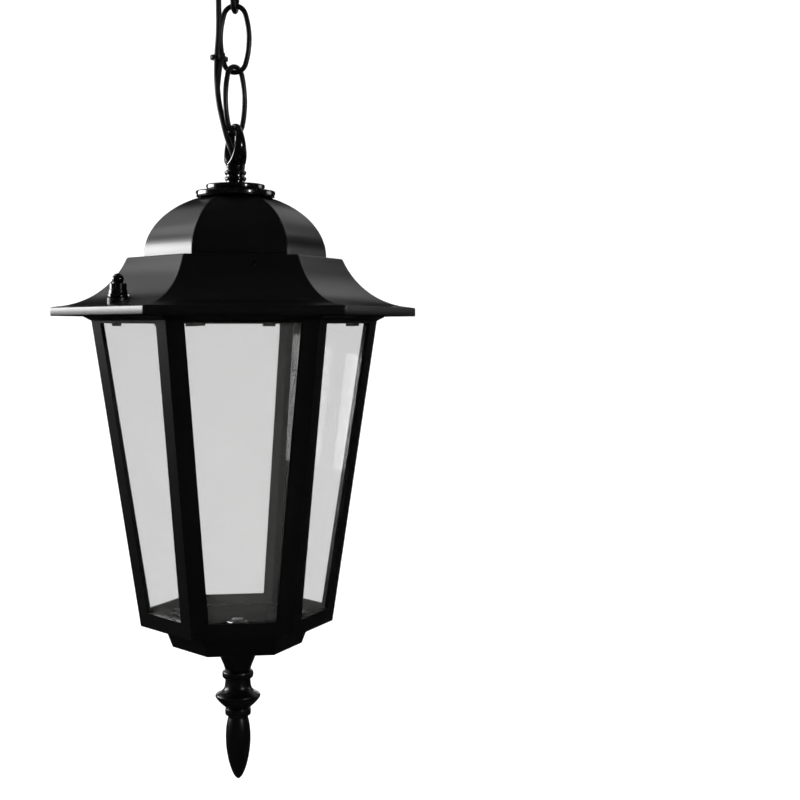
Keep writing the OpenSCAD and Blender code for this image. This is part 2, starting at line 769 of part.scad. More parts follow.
// ---- lampholder ----
module lampholder_cap() {
    wall = 2;
    foot = holder_joint_z;
    neck = holder_top_z - holder_neck_h;
    color("#202021") turned(concat(
        [[shank_r + thread_gap, holder_top_z], [8.4, holder_top_z], [8.4, neck]],
        arc_points([10, neck - 10], [holder_r - 10, 10], 90, 0, 8),
        [[holder_r, foot], [holder_r - wall, foot]],
        arc_points([10, neck - 10], [holder_r - 10 - wall, 10 - wall], 0, 90, 8),
        [[shank_r + thread_gap, neck - wall]]
    ));
}

module lampholder_body() {
    plug_r = holder_r - 2 - seat_gap;
    pocket_r = socket_r + shell_t + seat_gap;
    color("white") difference() {
        turned([
            [0, holder_joint_z + 4], [plug_r, holder_joint_z + 4],
            [plug_r, holder_joint_z - seat_gap], [holder_r, holder_joint_z - seat_gap],
            [holder_r, holder_joint_z - 4], [holder_r - 1.6, holder_joint_z - 5],
            [holder_r - 2.4, socket_mouth_z - 1.2], [holder_r - 3, socket_mouth_z - 2],
            [0, socket_mouth_z - 2]
        ]);
        translate([0, 0, socket_mouth_z - 3])
            cylinder(r = pocket_r, h = socket_depth + 3, $fn = round_fn);
    }
}

module lampholder_shell() {
    color(brass) translate([0, 0, socket_mouth_z]) difference() {
        cylinder(r = socket_r + shell_t, h = socket_depth - seat_gap, $fn = round_fn);
        translate([0, 0, -shell_top_t]) cylinder(r = socket_r, h = socket_depth, $fn = round_fn);
        translate([0, 0, socket_depth - 3]) cylinder(r = contact_hole_r, h = 4, $fn = round_fn);
    }
}

module lampholder_contact() {
    color(brass) translate([0, 0, socket_seat_z - seat_gap - contact_t])
        cylinder(r = 4, h = contact_t, $fn = round_fn);
}

// ---- cage ----
function side_window(grow) = let (
    low = foot_rail_h - grow,
    high = face_l - 1.4 + grow * 0.4,
    low_w = side_half_w(low) - post_w + grow,
    high_w = side_half_w(high) - post_w + grow
) [[-low_w, low], [low_w, low], [high_w, high], [-high_w, high]];

module cage_frame() {
    wall_r = cage_wall / flat_of_corner / cos(cage_lean);
    color(black) difference() {
        union() {
            hex_turned([
                [foot_opening_r, cage_foot_z], [cage_foot_r, cage_foot_z],
                [cage_top_r, cage_top_z], [ring_r, cage_top_z + ring_slope_h],
                [ring_r, ring_top_z], [ring_in_r, ring_top_z],
                [ring_in_r, cage_top_z + 0.6], [cage_top_r - wall_r, cage_top_z - 0.6],
                [cage_foot_r - wall_r, cage_foot_z + cage_wall],
                [foot_opening_r, cage_foot_z + cage_wall]
            ]);
            for (turn = stud_turn) at_stud(turn) translate([0, 0, ring_top_z - 2]) {
                cylinder(r = 5.4, h = 2, $fn = round_fn);
                translate([ring_flat_in + 1 - roof_stud_reach, -5.4, 0])
                    cube([roof_stud_reach - ring_flat_in - 1, 10.8, 2]);
            }
        }
        for (i = [1 : side_count]) {
            on_side(i) translate([0, 0, -cage_wall * 3])
                linear_extrude(cage_wall * 5) polygon(side_window(0));
            rotate([0, 0, 60 * i]) for (s = [-1, 1])
                translate([s * clip_reach, -clip_screw_at, ring_top_z - 4])
                cylinder(r = clip_screw_r + thread_gap, h = 5, $fn = 32);
        }
        for (turn = stud_turn) at_stud(turn) translate([0, 0, ring_top_z - 4])
            cylinder(r = stud_d / 2 + thread_gap, h = 6, $fn = round_fn);
        for (k = [0 : 2]) rotate([0, 0, 120 * k]) translate([0, -pan_screw_at, cage_foot_z - 1])
            cylinder(r = small_screw_r + thread_gap, h = cage_wall + 2, $fn = 32);
    }
}

module cage_studs() {
    color(steel) for (turn = stud_turn) at_stud(turn) translate([0, 0, ring_top_z - 2])
        cylinder(r = stud_d / 2, h = nut_seat_z - ring_top_z + 2 + 9.5, $fn = round_fn);
}

pane_low = (cage_wall + 2 * seat_gap) / cos(cage_lean) - glass_out * tan(cage_lean);
pane_high = face_l + 2.6;

module glass_pane(i) {
    low_w = side_half_w(pane_low) - post_w + glass_lap;
    high_w = side_half_w(pane_high) - post_w + glass_lap;
    color(clear) on_side(i) translate([0, 0, -glass_in])
        linear_extrude(glass_t)
        polygon([[-low_w, pane_low], [low_w, pane_low], [high_w, pane_high], [-high_w, pane_high]]);
}

// A clip hooks over the ring and reaches down the inside of the glass
module pane_clip() {
    gap = seat_gap + 0.1;
    foot_z = ring_top_z + seat_gap;
    in_top = (cage_top_r * flat_of_corner) - (glass_in + gap) / cos(cage_lean);
    lean_in = tan(cage_lean) * clip_drop;
    rotate([90, 0, 90]) translate([0, 0, -clip_w / 2]) linear_extrude(clip_w) polygon([
        [-ring_flat_out + 0.6, foot_z], [-in_top, foot_z],
        [-in_top + lean_in, cage_top_z - clip_drop],
        [-in_top + lean_in + clip_t, cage_top_z - clip_drop],
        [-in_top + clip_t, foot_z + clip_t], [-ring_flat_out + 0.6, foot_z + clip_t]
    ]);
}

module pane_clips() {
    color(black) for (i = [1 : side_count], s = [-1, 1]) rotate([0, 0, 60 * i]) difference() {
        translate([s * clip_reach, 0, 0]) pane_clip();
        translate([s * clip_reach, -clip_screw_at, ring_top_z - 1])
            cylinder(r = clip_screw_r + hole_gap, h = 4, $fn = 32);
    }
}

module clip_screws() {
    color(steel) for (i = [1 : side_count], s = [-1, 1])
        rotate([0, 0, 60 * i]) translate([s * clip_reach, -clip_screw_at, ring_top_z]) {
            translate([0, 0, -3]) cylinder(r = clip_screw_r, h = 3 + clip_t + 1, $fn = 32);
            translate([0, 0, clip_t + 2 * seat_gap]) cylinder(r = 2.4, h = 1.6, $fn = 32);
        }
}

// ---- base pan and finial ----
pan_flange_r = 48.6;
pan_screw_at = (foot_opening_r + pan_flange_r) / 2 * flat_of_corner;
drain_at = 22;

module base_pan() {
    flange_z = cage_foot_z + cage_wall + seat_gap;
    color(black) difference() {
        hex_turned([
            [0, pan_foot_z], [pan_floor_r, pan_foot_z], [pan_mouth_r, cage_foot_z],
            [pan_mouth_r, flange_z], [pan_flange_r, flange_z],
            [pan_flange_r, flange_z + pan_wall], [pan_mouth_r - pan_wall, flange_z + pan_wall],
            [pan_mouth_r - pan_wall * 1.2, cage_foot_z],
            [pan_floor_r - pan_wall * 1.2, pan_floor_z], [0, pan_floor_z]
        ]);
        translate([0, 0, pan_foot_z - 1])
            cylinder(r = rod_d / 2 + hole_gap, h = pan_wall + 2, $fn = round_fn);
        rotate([0, 0, -60]) translate([drain_at, 0, pan_foot_z - 1])
            cylinder(r = drain_d / 2, h = pan_wall + 2, $fn = 32);
        for (k = [0 : 2]) rotate([0, 0, 120 * k]) translate([0, -pan_screw_at, flange_z - 1])
            cylinder(r = small_screw_r + hole_gap, h = pan_wall + 2, $fn = 32);
    }
}

module pan_screws() {
    top_z = cage_foot_z + cage_wall + pan_wall + 2 * seat_gap;
    color(steel) for (k = [0 : 2]) rotate([0, 0, 120 * k]) translate([0, -pan_screw_at, 0]) {
        translate([0, 0, cage_foot_z - 0.4])
            cylinder(r = small_screw_r, h = top_z - cage_foot_z + 1, $fn = 32);
        translate([0, 0, top_z]) cylinder(r = 2.4, h = 1.6, $fn = 32);
    }
}

// The finial's outline from its seat down: [radius, depth]
finial_outline = [
    [12.6, 0.1], [11.4, 4], [9.8, 8], [8.2, 12], [7.4, 14.6],
    [8.6, 15.2], [9.1, 16.2], [9.1, 18], [8.6, 19], [7.4, 19.8],
    [7.6, 23], [8.2, 25.6], [10.2, 27.4], [12.4, 28.4], [13.2, 29.6], [12.9, 31],
    [10.6, 33.8], [8.2, 36], [7.1, 37],
    [7.5, 37.8], [7.5, 40.6], [7, 41.4], [5.8, 42]
];
drop_r = 7.3;
drop_top = 42;
drop_l = 37.4;
finial_bore = 13;

// The drop's radius, from its neck at 0 to its tip at 1
function drop_radius(t) = drop_r * pow(sin(180 * pow(t * 0.85 + 0.15, 0.83)), 0.52);

module finial() {
    steps = 20;
    drop = [for (k = [1 : steps - 1])
        let (t = k / steps)
        [drop_radius(t), -drop_top - drop_l * t]];
    body = [for (p = finial_outline) [p[0], -p[1]]];
    color(black) translate([0, 0, pan_foot_z]) difference() {
        turned(concat([[0, -0.1]], body, drop, [[0, -drop_top - drop_l]]));
        translate([0, 0, -finial_bore])
            cylinder(r = rod_d / 2 + thread_gap, h = finial_bore + 1, $fn = round_fn);
    }
}

finial_nut_flats = 11;
finial_nut_h = 11;

module finial_rod() {
    low = pan_foot_z - finial_bore + seat_gap;
    color(steel) translate([0, 0, low])
        cylinder(r = rod_d / 2, h = pan_floor_z + rod_rise - low, $fn = round_fn);
}

module finial_washer() {
    color(steel) translate([0, 0, pan_floor_z + seat_gap])
        tube(8, rod_d / 2 + hole_gap, washer_t);
}

module finial_nut() {
    color(steel) translate([0, 0, pan_floor_z + washer_t + 2 * seat_gap])
        hex_nut(finial_nut_flats, finial_nut_h, rod_d / 2 + thread_gap);
}

ceiling_bracket();
canopy_studs();
canopy();
canopy_cap_nuts();
canopy_loop();
canopy_loop_washer();
canopy_loop_locknut();
terminal_block();
terminal_screws();
cable_clamp();
clamp_screws();
lamp_cable();
cable_tie();
for (i = [1 : link_count])
    chain_link(i);
lantern_loop();
upper_cap_disc();
lower_cap_disc();
roof();
roof_washer();
roof_locknut();
roof_cap_nut(stud_turn[0]);  // roof_cap_nut_left
roof_cap_nut(stud_turn[1]);  // roof_cap_nut_right
lampholder_cap();
lampholder_body();
lampholder_shell();
lampholder_contact();
cage_frame();
cage_studs();
pane_clips();
clip_screws();
for (i = [1 : side_count])
    glass_pane(i);
base_pan();
pan_screws();
finial();
finial_rod();
finial_washer();
finial_nut();
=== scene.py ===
"""Hexagonal hanging lantern: the visible pieces, materials, lights and camera."""
import json
import math

import bmesh
import bpy
from mathutils import Matrix, Vector


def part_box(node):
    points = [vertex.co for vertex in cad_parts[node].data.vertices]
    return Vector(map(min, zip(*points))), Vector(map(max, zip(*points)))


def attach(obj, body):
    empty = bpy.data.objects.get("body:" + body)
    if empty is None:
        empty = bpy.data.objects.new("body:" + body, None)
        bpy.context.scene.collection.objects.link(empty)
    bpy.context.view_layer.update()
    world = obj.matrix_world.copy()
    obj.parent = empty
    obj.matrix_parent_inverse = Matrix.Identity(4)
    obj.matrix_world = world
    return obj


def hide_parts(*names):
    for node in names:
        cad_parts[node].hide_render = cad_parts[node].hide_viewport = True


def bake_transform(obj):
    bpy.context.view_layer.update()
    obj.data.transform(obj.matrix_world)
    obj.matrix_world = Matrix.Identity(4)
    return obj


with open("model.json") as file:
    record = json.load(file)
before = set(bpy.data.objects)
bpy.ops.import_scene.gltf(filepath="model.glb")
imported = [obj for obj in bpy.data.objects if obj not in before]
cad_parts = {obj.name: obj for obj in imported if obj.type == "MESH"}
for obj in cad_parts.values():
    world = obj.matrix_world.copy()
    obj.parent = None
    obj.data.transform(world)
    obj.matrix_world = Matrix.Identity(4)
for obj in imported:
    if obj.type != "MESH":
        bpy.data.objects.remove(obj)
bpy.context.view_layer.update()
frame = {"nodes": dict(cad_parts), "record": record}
nodes = frame["nodes"]

MM = 0.001
COS30 = math.cos(math.radians(30))
BORE_R = 5.25
AXIS_R = 0.002

# ---------------------------------------------------------------- camera ----
# The eye's height and distance in metres, the lens in mm, and its turns
EYE_Z = -0.6663
LENS = 69.35
DISTANCE = 0.904
TURN = math.radians(-3.0)
PAN = math.radians(6.06)
TILT = math.radians(2.6)

camera_data = bpy.data.cameras.new("camera")
camera_data.lens = LENS
camera_data.sensor_width = 36.0
camera_data.clip_start = 0.02
camera_data.clip_end = 60.0
camera = bpy.data.objects.new("camera", camera_data)
bpy.context.scene.collection.objects.link(camera)
camera.location = (DISTANCE * math.sin(TURN), -DISTANCE * math.cos(TURN), EYE_Z)
# faces the lantern, then turns right and down
heading = math.atan2(-camera.location.x, -camera.location.y) + PAN
look = Vector((
    math.sin(heading) * math.cos(TILT),
    math.cos(heading) * math.cos(TILT),
    -math.sin(TILT),
))
camera.rotation_mode = "QUATERNION"
camera.rotation_quaternion = look.to_track_quat("-Z", "Y")
bpy.context.scene.camera = camera


# ------------------------------------------------------------ mesh helpers ----
def face_outwards(obj):
    """Turns every face of a closed mesh outwards."""
    work = bmesh.new()
    work.from_mesh(obj.data)
    bmesh.ops.recalc_face_normals(work, faces=work.faces)
    work.to_mesh(obj.data)
    work.free()


def add_mesh(name, verts, faces, angle=35.0):
    """A mesh object from points in metres, smooth except at edges sharper than angle."""
    mesh = bpy.data.meshes.new(name)
    mesh.from_pydata([tuple(v) for v in verts], [], [tuple(f) for f in faces])
    mesh.validate()
    obj = bpy.data.objects.new(name, mesh)
    face_outwards(obj)
    mesh.shade_smooth()
    mesh.set_sharp_from_angle(angle=math.radians(angle))
    obj["sharp"] = angle
    bpy.context.scene.collection.objects.link(obj)
    return obj


def add_rings(name, rings, closed=False, capped=True, angle=35.0):
    """A skin over rings of points."""
    n, m = len(rings), len(rings[0])
    verts = [p for ring in rings for p in ring]
    faces = []
    for i in range(n if closed else n - 1):
        for k in range(m):
            a, b = i * m + k, i * m + (k + 1) % m
            c, d = ((i + 1) % n) * m + k, ((i + 1) % n) * m + (k + 1) % m
            faces.append((a, b, d, c))
    if not closed and capped:
        faces.append(tuple(range(m - 1, -1, -1)))
        faces.append(tuple((n - 1) * m + k for k in range(m)))
    return add_mesh(name, verts, faces, angle)


def rounded(points, radii, steps=5):
    """The corners of an open outline [(r, z)] rounded, with one radius for each point."""
    out = []
    last = len(points) - 1
    for i, p in enumerate(points):
        r = radii[i]
        if i in (0, last) or r <= 0:
            out.append(p)
            continue
        a, b, c = Vector(points[i - 1]), Vector(p), Vector(points[i + 1])
        u, v = a - b, c - b
        if u.length < 1e-6 or v.length < 1e-6:
            out.append(p)
            continue
        half = math.acos(max(-1, min(1, u.normalized().dot(v.normalized())))) / 2
        if half > math.radians(88) or half < math.radians(4):
            out.append(p)
            continue
        cut = min(r / math.tan(half), u.length * 0.48, v.length * 0.48)
        real = cut * math.tan(half)
        centre = b + (u.normalized() + v.normalized()).normalized() * (real / math.sin(half))
        start, end = b + u.normalized() * cut - centre, b + v.normalized() * cut - centre
        sweep = start.angle_signed(end)
        for k in range(steps + 1):
            d = start.copy()
            d.rotate(Matrix.Rotation(-sweep * k / steps, 2))
            out.append(tuple(centre + d))
    return out


def smooth_curve(points, per=6):
    """A smooth curve through points of any dimension."""
    pts = [Vector(p) for p in points]
    out = []
    for i in range(len(pts) - 1):
        a, b = pts[max(i - 1, 0)], pts[i]
        c, d = pts[i + 1], pts[min(i + 2, len(pts) - 1)]
        for k in range(per):
            t = k / per
            out.append((2 * b + (c - a) * t + (2 * a - 5 * b + 4 * c - d) * t * t
                        + (3 * b - 3 * c + d - a) * t ** 3) / 2)
    out.append(pts[-1])
    return out


def circle(r, z, segments, centre=(0, 0)):
    """A level ring of points in metres, from sizes in mm."""
    return [((centre[0] + r * math.cos(2 * math.pi * k / segments)) * MM,
             (centre[1] + r * math.sin(2 * math.pi * k / segments)) * MM, z * MM)
            for k in range(segments)]


def lathe(name, outline, segments=96, centre=(0, 0), closed=False, angle=35.0):
    """An outline [(r, z)] in mm turned about the vertical through centre."""
    rings = [circle(max(r, AXIS_R), z, segments, centre) for r, z in outline]
    return add_rings(name, rings, closed=closed, capped=False, angle=angle)


def hexagon(radius, z, corner=1.2, steps=4, land=1.2):
    """A hexagon ring with rounded corners on +X and -X. radius is the sharp corner's."""
    corner = min(corner, radius * 0.3)
    land = min(land, radius * 0.1)
    middle = radius - corner / COS30
    ring = []
    for k in range(6):
        a = math.radians(60 * k)
        c = Vector((middle * math.cos(a), middle * math.sin(a)))
        arc = []
        for j in range(steps + 1):
            b = a + math.radians(-30 + 60 * j / steps)
            arc.append(c + corner * Vector((math.cos(b), math.sin(b))))
        before, after = a - math.radians(120), a + math.radians(120)
        arc.insert(0, arc[0] + land * Vector((math.cos(before), math.sin(before))))
        arc.append(arc[-1] + land * Vector((math.cos(after), math.sin(after))))
        ring += [(p.x * MM, p.y * MM, z * MM) for p in arc]
    return ring


def join(name, objects):
    """Several meshes as one object."""
    mesh = bpy.data.meshes.new(name)
    verts, faces, base = [], [], 0
    for o in objects:
        m = o.matrix_world
        verts += [tuple(m @ v.co) for v in o.data.vertices]
        faces += [tuple(base + i for i in p.vertices) for p in o.data.polygons]
        base += len(o.data.vertices)
    angle = objects[0].get("sharp", 35.0)
    for o in objects:
        bpy.data.objects.remove(o)
    mesh.from_pydata(verts, [], faces)
    mesh.shade_smooth()
    mesh.set_sharp_from_angle(angle=math.radians(angle))
    obj = bpy.data.objects.new(name, mesh)
    bpy.context.scene.collection.objects.link(obj)
    return obj


def dress(obj, body, material, replaced):
    """A piece's material, the body it rides on and the CAD nodes it stands for."""
    obj.data.materials.clear()
    obj.data.materials.append(material)
    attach(obj, body)
    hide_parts(*replaced)


# --------------------------------------------------------------- materials ----
class Graph:
    """Short calls for building one material's nodes."""

    def __init__(self, name):
        self.material = bpy.data.materials.new(name)
        self.material.use_nodes = True
        self.tree = self.material.node_tree
        self.shader = self.tree.nodes["Principled BSDF"]
        self.place = self.tree.nodes.new("ShaderNodeTexCoord")

    def set(self, **values):
        for key, value in values.items():
            self.shader.inputs[key.replace("_", " ")].default_value = value

    def link(self, a, b):
        self.tree.links.new(a, b)

    def noise(self, scale, detail=4.0, rough=0.55, stretch=(1, 1, 1)):
        mapping = self.tree.nodes.new("ShaderNodeMapping")
        mapping.inputs["Scale"].default_value = stretch
        self.link(self.place.outputs["Object"], mapping.inputs["Vector"])
        node = self.tree.nodes.new("ShaderNodeTexNoise")
        node.inputs["Scale"].default_value = scale
        node.inputs["Detail"].default_value = detail
        node.inputs["Roughness"].default_value = rough
        self.link(mapping.outputs["Vector"], node.inputs["Vector"])
        return node.outputs["Fac"]

    def ramp(self, source, low, high, start=0.3, end=0.7):
        node = self.tree.nodes.new("ShaderNodeMapRange")
        node.inputs["From Min"].default_value = start
        node.inputs["From Max"].default_value = end
        node.inputs["To Min"].default_value = low
        node.inputs["To Max"].default_value = high
        self.link(source, node.inputs["Value"])
        return node.outputs["Result"]

    def blend(self, source, first, second, start=0.3, end=0.7):
        node = self.tree.nodes.new("ShaderNodeValToRGB")
        node.color_ramp.elements[0].position = start
        node.color_ramp.elements[0].color = (*first, 1)
        node.color_ramp.elements[1].position = end
        node.color_ramp.elements[1].color = (*second, 1)
        self.link(source, node.inputs["Fac"])
        return node.outputs["Color"]

    def bump(self, source, distance, strength=1.0, previous=None):
        node = self.tree.nodes.new("ShaderNodeBump")
        node.inputs["Distance"].default_value = distance
        node.inputs["Strength"].default_value = strength
        self.link(source, node.inputs["Height"])
        if previous is not None:
            self.link(previous, node.inputs["Normal"])
        return node.outputs["Normal"]

    def colour(self, source):
        self.link(source, self.shader.inputs["Base Color"])

    def roughness(self, source):
        self.link(source, self.shader.inputs["Roughness"])

    def normal(self, source):
        self.link(source, self.shader.inputs["Normal"])


def enamel(name, base, rough, grain, coat):
    """Black paint: fine grain over soft orange peel and faint upright streaks."""
    g = Graph(name)
    g.set(IOR=1.5, Coat_Weight=coat, Coat_Roughness=0.08)
    cloud = g.noise(14, 5)
    g.colour(g.blend(cloud, base, tuple(c * 1.5 for c in base)))
    fine = g.noise(900, 3)
    g.roughness(g.ramp(g.noise(45, 3), rough * 0.93, rough * 1.08, 0.2, 0.8))
    streak = g.bump(g.noise(380, 4, 0.6, (1, 1, 0.05)), 0.00004, 0.3)
    peel = g.bump(g.noise(180, 2), 0.00003, 0.3, streak)
    g.normal(g.bump(fine, grain, 0.4, peel))
    return g.material


black_enamel = enamel("black_enamel", (0.0016, 0.0016, 0.0016), 0.29, 0.00002, 0.06)
black_gloss = enamel("black_gloss", (0.0016, 0.0016, 0.0016), 0.17, 0.00001, 0.6)
black_chain = enamel("black_chain", (0.0022, 0.0022, 0.0022), 0.34, 0.00003, 0.1)


def make_cable_skin():
    g = Graph("cable_skin")
    g.set(IOR=1.48, Specular_IOR_Level=0.45)
    g.colour(g.blend(g.noise(40, 4), (0.003, 0.003, 0.0031), (0.006, 0.006, 0.0062)))
    g.roughness(g.ramp(g.noise(120, 5), 0.38, 0.55))
    g.normal(g.bump(g.noise(700, 3, 0.5, (1, 1, 0.15)), 0.00004, 0.5))
    return g.material


def make_steel(name, base, rough):
    """Bare metal with fine upright brushing."""
    g = Graph(name)
    g.set(Metallic=1.0)
    g.colour(g.blend(g.noise(30, 5), tuple(c * 0.82 for c in base), base))
    g.roughness(g.ramp(g.noise(300, 5, 0.6, (1, 1, 0.1)), rough * 0.75, rough * 1.3))
    g.normal(g.bump(g.noise(1200, 3, 0.5, (1, 1, 0.08)), 0.00002, 0.4))
    return g.material


def make_glass():
    g = Graph("clear_glass")
    g.set(Alpha=0.175, IOR=1.5, Coat_Weight=1.0, Coat_Roughness=0.02)
    g.colour(g.blend(g.noise(9, 4), (0.09, 0.09, 0.085), (0.13, 0.13, 0.125)))
    g.roughness(g.ramp(g.noise(24, 6, 0.7), 0.0, 0.02, 0.45, 0.85))
    g.normal(g.bump(g.noise(7, 2), 0.00008, 0.25))
    return g.material


def make_porcelain():
    g = Graph("white_porcelain")
    g.set(IOR=1.52, Coat_Weight=0.5, Coat_Roughness=0.06)
    g.colour(g.blend(g.noise(22, 5), (0.70, 0.68, 0.62), (0.80, 0.79, 0.75)))
    g.roughness(g.ramp(g.noise(90, 4), 0.12, 0.28))
    g.normal(g.bump(g.noise(400, 3), 0.00003, 0.4))
    return g.material


cable_skin = make_cable_skin()
zinc_steel = make_steel("zinc_steel", (0.56, 0.57, 0.58), 0.30)
brass = make_steel("brass", (0.66, 0.50, 0.24), 0.26)
clear_glass = make_glass()
porcelain = make_porcelain()

MATERIALS = {
    "black_enamel": black_enamel, "black_gloss": black_gloss, "black_chain": black_chain,
    "zinc_steel": zinc_steel, "black_cable": cable_skin, "clear_glass": clear_glass,
    "white_porcelain": porcelain, "brass": brass,
}


def polish(node, width):
    """A CAD node that stays: its slot's material, and soft edges from a bevel, width in mm."""
    obj = nodes[node]
    slot = next(s["material_slot"] for s in frame["record"]["subparts"] if s["node"] == node)
    obj.data.materials.clear()
    obj.data.materials.append(MATERIALS[slot])
    for p in obj.data.polygons:
        p.material_index = 0
    weld = obj.modifiers.new("weld", "WELD")
    weld.merge_threshold = 0.00002
    bevel = obj.modifiers.new("bevel", "BEVEL")
    bevel.width = width * MM
    bevel.segments = 3 if width > 0.4 else 2
    bevel.limit_method = "ANGLE"
    bevel.angle_limit = math.radians(32)
    bevel.harden_normals = False
    bevel.use_clamp_overlap = True


# ------------------------------------------------- sizes read from the frame ----
def low(node):
    """A node's lowest corner, in mm."""
    return [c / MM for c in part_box(node)[0]]


def high(node):
    """A node's highest corner, in mm."""
    return [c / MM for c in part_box(node)[1]]


SEAT_Z = high("upper_cap_disc")[2]
ROOF_TOP_Z = low("lower_cap_disc")[2]
RIM_FOOT_Z = low("roof")[2]
RIM_R = high("roof")[0]
CANOPY_R = high("canopy")[0]
CANOPY_FACE_Z = low("canopy")[2]
LINK_COUNT = sum(1 for n in nodes if n.startswith("chain_link_"))
PAN_FOOT_Z = low("base_pan")[2]


# ------------------------------------------------------------------ canopy ----
CANOPY_WALL = 1.2
CANOPY_RISE = 6
CANOPY_STUD_AT = 37.5
NUT_BORE_R = 2.15


def canopy_outline(inset):
    """The shell's section from the loop's bore to the rim, inset from the outside."""
    face, side, r = CANOPY_FACE_Z + inset, CANOPY_FACE_Z + CANOPY_RISE + inset, CANOPY_R - inset
    outer = [(BORE_R, face), (22.5, face), (31, side - 0.2), (32, side), (r, side), (r, 0)]
    return rounded(outer, [0, 5, 1.6, 0.5, 4 - inset, 0], 8)


shell = canopy_outline(0) + [(r, z) for r, z in reversed(canopy_outline(CANOPY_WALL))]
canopy = lathe("canopy_shell", shell, 128, closed=True, angle=40)
dress(canopy, "ceiling_canopy", black_enamel, ["canopy"])


def cap_nut(name, x, y, seat, up, foot, neck, ball, foot_h, neck_h, height):
    """A ball cap nut on a flared foot, its thread open below."""
    ball_at = height - ball
    outline = [(NUT_BORE_R, 0), (foot - 0.5, 0)]
    outline += [(foot - 0.5 + 0.5 * math.sin(math.radians(a)),
                 0.6 - 0.6 * math.cos(math.radians(a))) for a in (30, 60, 90)]
    outline += [tuple(p) for p in smooth_curve([
        (foot, 1.1), (foot - 0.35, foot_h * 0.55), (neck + 0.2, foot_h - 0.25)], 6)]
    outline += [(neck, foot_h), (neck, foot_h + neck_h - 0.4)]
    outline += [(neck - 0.3, foot_h + neck_h - 0.1), (ball * 0.80, foot_h + neck_h + 0.05)]
    outline += [(ball * math.cos(math.radians(a)), ball_at + ball * math.sin(math.radians(a)))
                for a in range(-24, 91, 6)]
    outline += [(0, height - 2.0), (NUT_BORE_R, height - 3.0)]
    placed = [(r, seat + up * z) for r, z in outline]
    return lathe(name, placed, 48, (x, y), closed=True, angle=38)


canopy_nuts = []
for side in (-1, 1):
    canopy_nuts.append(cap_nut(
        "nut", side * CANOPY_STUD_AT, 0, CANOPY_FACE_Z + CANOPY_RISE, -1,
        foot=4.6, neck=3.6, ball=3.0, foot_h=3.4, neck_h=2.0, height=10.0))
nuts = join("canopy_nut_pair", canopy_nuts)
dress(nuts, "ceiling_canopy", black_gloss, ["canopy_cap_nuts"])


# ------------------------------------------------------------------- loops ----
EYE_TOP, EYE_BOTTOM, EYE_W = 31.9, 13.9, 13.4
BOW_TIP, BOW_ROOT = (1.6, 2.2), (2.4, 5.6)
BEADS_AT = (1.9, 5.4)


def loop_shape(name, shank, seat, up, turn):
    """A forged loop: a bow that thickens to its root, two turned beads and a bored shank."""
    mid_top, mid_low = EYE_TOP + 1.6, EYE_BOTTOM - 2.4
    mid_h, half_h = (mid_top + mid_low) / 2, (mid_top - mid_low) / 2
    half_w = EYE_W / 2 + 1.8
    rings = []
    count = 96
    for i in range(count):
        a = 2 * math.pi * i / count
        root = (1 - math.sin(a)) / 2
        thick = BOW_TIP[0] + (BOW_ROOT[0] - BOW_TIP[0]) * root
        wide = BOW_TIP[1] + (BOW_ROOT[1] - BOW_TIP[1]) * root ** 1.6
        y, z = half_w * math.cos(a), mid_h + half_h * math.sin(a)
        out = Vector((0, math.cos(a) / half_w, math.sin(a) / half_h)).normalized()
        ring = []
        for k in range(24):
            b = 2 * math.pi * k / 24
            # a lens-like section, with the soft ridge of a forging's parting line
            swell = 1 + 0.025 * math.cos(2 * b)
            ring.append(Vector((wide * math.sin(b) * swell, y + out.y * thick * math.cos(b),
                                z + out.z * thick * math.cos(b))))
        rings.append(ring)
    bead = []
    for base in BEADS_AT:
        bead += [(BORE_R, base + 0.05)]
        bead += [(5.3 + 1.1 * math.cos(math.radians(a)),
                  base + 1.3 + 1.3 * math.sin(math.radians(a))) for a in range(-80, 81, 10)]
        bead += [(BORE_R, base + 2.55)]
    stem = [(3.4, -shank), (4.6, -shank), (5.0, -shank + 0.4)]
    for k in range(int(shank - 3)):
        z = -shank + 1 + k
        stem += [(4.72, z), (5.0, z + 0.35), (5.0, z + 0.5)]
    stem += [(4.98, -0.6), (5.2, 0.02), (5.3, 0.4)] + bead
    stem += [tuple(p) for p in smooth_curve([(5.35, 8.1), (5.5, 9.4), (5.6, 10.8), (4.6, 12.2)], 4)]
    stem += [(3.9, 12.6), (3.4, 11.6)]
    swivel = Matrix.Rotation(math.radians(turn), 3, "Z")

    def place(p):
        """A point of the loop in the frame, in metres."""
        q = Vector(p)
        if up < 0:
            q = Vector((q.x, -q.y, -q.z))
        q = swivel @ q
        return (q.x * MM, q.y * MM, (seat + q.z) * MM)

    bow = add_rings("bow", [[place(p) for p in ring] for ring in rings], closed=True)
    turns = [2 * math.pi * k / 64 for k in range(64)]
    post = add_rings("post", [[place((r * math.cos(a), r * math.sin(a), z)) for a in turns]
                              for r, z in stem], closed=True, capped=False)
    return join(name, [bow, post])


upper_loop = loop_shape("canopy_eye_loop", 14.0, CANOPY_FACE_Z, -1, 0)
dress(upper_loop, "ceiling_canopy", black_gloss, ["canopy_loop"])
lower_loop = loop_shape("lantern_eye_loop", 22.0, SEAT_Z, 1, 17)
dress(lower_loop, "lantern", black_gloss, ["lantern_loop"])


# ------------------------------------------------------------------- chain ----
WIRE_R = 1.5
HALF_L, HALF_W, END_R = 19.0, 8.4, 6.5
END_AT = HALF_L - END_R
SIDE_R = (HALF_W ** 2 + END_AT ** 2 - END_R ** 2) / (2 * (HALF_W - END_R))
SIDE_AT = SIDE_R - HALF_W
JOIN = math.atan2(END_AT, SIDE_AT)
# each link's turn about the vertical, in degrees
LINK_TURN = [0, 90, 0, 90, 0, 90, 4, 86, -3, 88, 2, 77, -15, 46]


